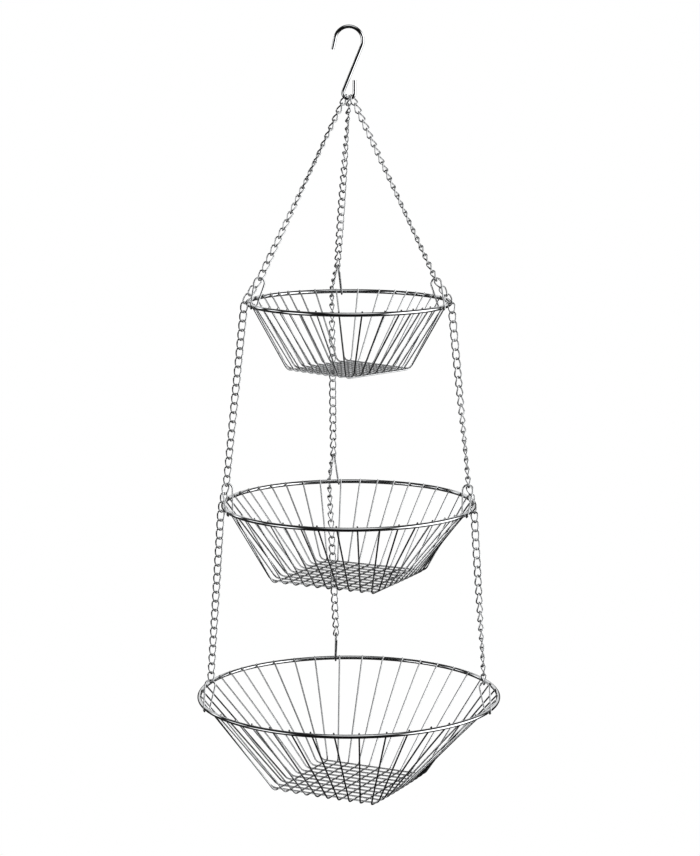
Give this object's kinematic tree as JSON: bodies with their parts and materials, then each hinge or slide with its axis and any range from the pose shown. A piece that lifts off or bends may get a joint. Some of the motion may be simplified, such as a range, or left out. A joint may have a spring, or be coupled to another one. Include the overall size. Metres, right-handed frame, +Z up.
{
  "type": "wire produce basket",
  "caption": "Hanging wire produce basket: round wire baskets in graduated sizes hung one below another on chains from an S-hook.",
  "frame": {"origin": "seat of the S-hook: the inside top of its upper bow, where the ceiling hook bears", "axes": "+Z up, the way the object hangs; +X to the right with the S-hook seen flat on; +Y to the back, towards the rear chain"},
  "size_m": [0.3048, 0.3059, 0.7601],
  "materials": {
    "hook_chrome": "bright chrome plate on drawn steel wire",
    "chain_chrome": "bright chrome plate on formed steel links",
    "clip_chrome": "bright chrome plate on bent spring wire",
    "rim_chrome": "bright chrome plate on a thick rolled wire ring",
    "wire_chrome": "bright chrome plate on thin drawn mesh wire"
  },
  "bodies": {
    "hook": {"s_hook": "hook_chrome"},
    "top_tier": {"chain_upper_rear": "chain_chrome", "chain_upper_left": "chain_chrome", "chain_upper_right": "chain_chrome", "clip_top_rear": "clip_chrome", "clip_top_left": "clip_chrome", "clip_top_right": "clip_chrome", "rim_top": "rim_chrome", "floor_wires_top": "wire_chrome", "cross_wires_top": "wire_chrome"},
    "middle_chain_rear": {"chain_middle_rear": "chain_chrome"},
    "middle_chain_left": {"chain_middle_left": "chain_chrome"},
    "middle_chain_right": {"chain_middle_right": "chain_chrome"},
    "middle_tier": {"rim_links_middle": "chain_chrome", "clip_middle_rear": "clip_chrome", "clip_middle_left": "clip_chrome", "clip_middle_right": "clip_chrome", "rim_middle": "rim_chrome", "floor_wires_middle": "wire_chrome", "cross_wires_middle": "wire_chrome"},
    "lower_chain_rear": {"chain_lower_rear": "chain_chrome"},
    "lower_chain_left": {"chain_lower_left": "chain_chrome"},
    "lower_chain_right": {"chain_lower_right": "chain_chrome"},
    "bottom_tier": {"clip_bottom_rear": "clip_chrome", "clip_bottom_left": "clip_chrome", "clip_bottom_right": "clip_chrome", "rim_bottom": "rim_chrome", "floor_wires_bottom": "wire_chrome", "cross_wires_bottom": "wire_chrome"}
  },
  "joints": [
    {"name": "hanger_swing", "type": "hinge", "parent": "hook", "child": "top_tier", "pos_m": [0, 0, -0.06755], "axis": [1, 0, 0], "range_deg": [-12, 12]},
    {"name": "middle_sway", "type": "hinge", "parent": "top_tier", "child": "middle_chain_rear", "pos_m": [-0.01755, 0.10483, -0.26389], "axis": [1, 0, 0], "range_deg": [-9, 9]},
    {"name": "middle_left_chain_swing", "type": "hinge", "parent": "top_tier", "child": "middle_chain_left", "pos_m": [-0.10175, -0.03071, -0.26389], "axis": [1, 0, 0], "range_deg": [-9.27, 9.27]},
    {"name": "middle_right_chain_swing", "type": "hinge", "parent": "top_tier", "child": "middle_chain_right", "pos_m": [0.09969, -0.03687, -0.26389], "axis": [1, 0, 0], "range_deg": [-9.27, 9.27]},
    {"name": "middle_level", "type": "hinge", "parent": "middle_chain_rear", "child": "middle_tier", "pos_m": [-0.01611, 0.12586, -0.44273], "axis": [1, 0, 0], "range_deg": [-8.1, 8.1]},
    {"name": "bottom_sway", "type": "hinge", "parent": "middle_tier", "child": "lower_chain_rear", "pos_m": [-0.02074, 0.12974, -0.46879], "axis": [1, 0, 0], "range_deg": [-9, 9]},
    {"name": "bottom_left_chain_swing", "type": "hinge", "parent": "middle_tier", "child": "lower_chain_left", "pos_m": [-0.1255, -0.03889, -0.46879], "axis": [1, 0, 0], "range_deg": [-9.27, 9.27]},
    {"name": "bottom_right_chain_swing", "type": "hinge", "parent": "middle_tier", "child": "lower_chain_right", "pos_m": [0.12289, -0.04648, -0.46879], "axis": [1, 0, 0], "range_deg": [-9.27, 9.27]},
    {"name": "bottom_level", "type": "hinge", "parent": "lower_chain_rear", "child": "bottom_tier", "pos_m": [-0.01336, 0.14393, -0.63905], "axis": [1, 0, 0], "range_deg": [-8.1, 8.1]}
  ],
  "couplings": [
    {"joint": "middle_left_chain_swing", "follows": "middle_sway", "ratio": 1.0125},
    {"joint": "middle_right_chain_swing", "follows": "middle_sway", "ratio": 1.0125},
    {"joint": "middle_level", "follows": "middle_sway", "ratio": -0.81},
    {"joint": "bottom_left_chain_swing", "follows": "bottom_sway", "ratio": 1.0125},
    {"joint": "bottom_right_chain_swing", "follows": "bottom_sway", "ratio": 1.0125},
    {"joint": "bottom_level", "follows": "bottom_sway", "ratio": -0.88}
  ]
}
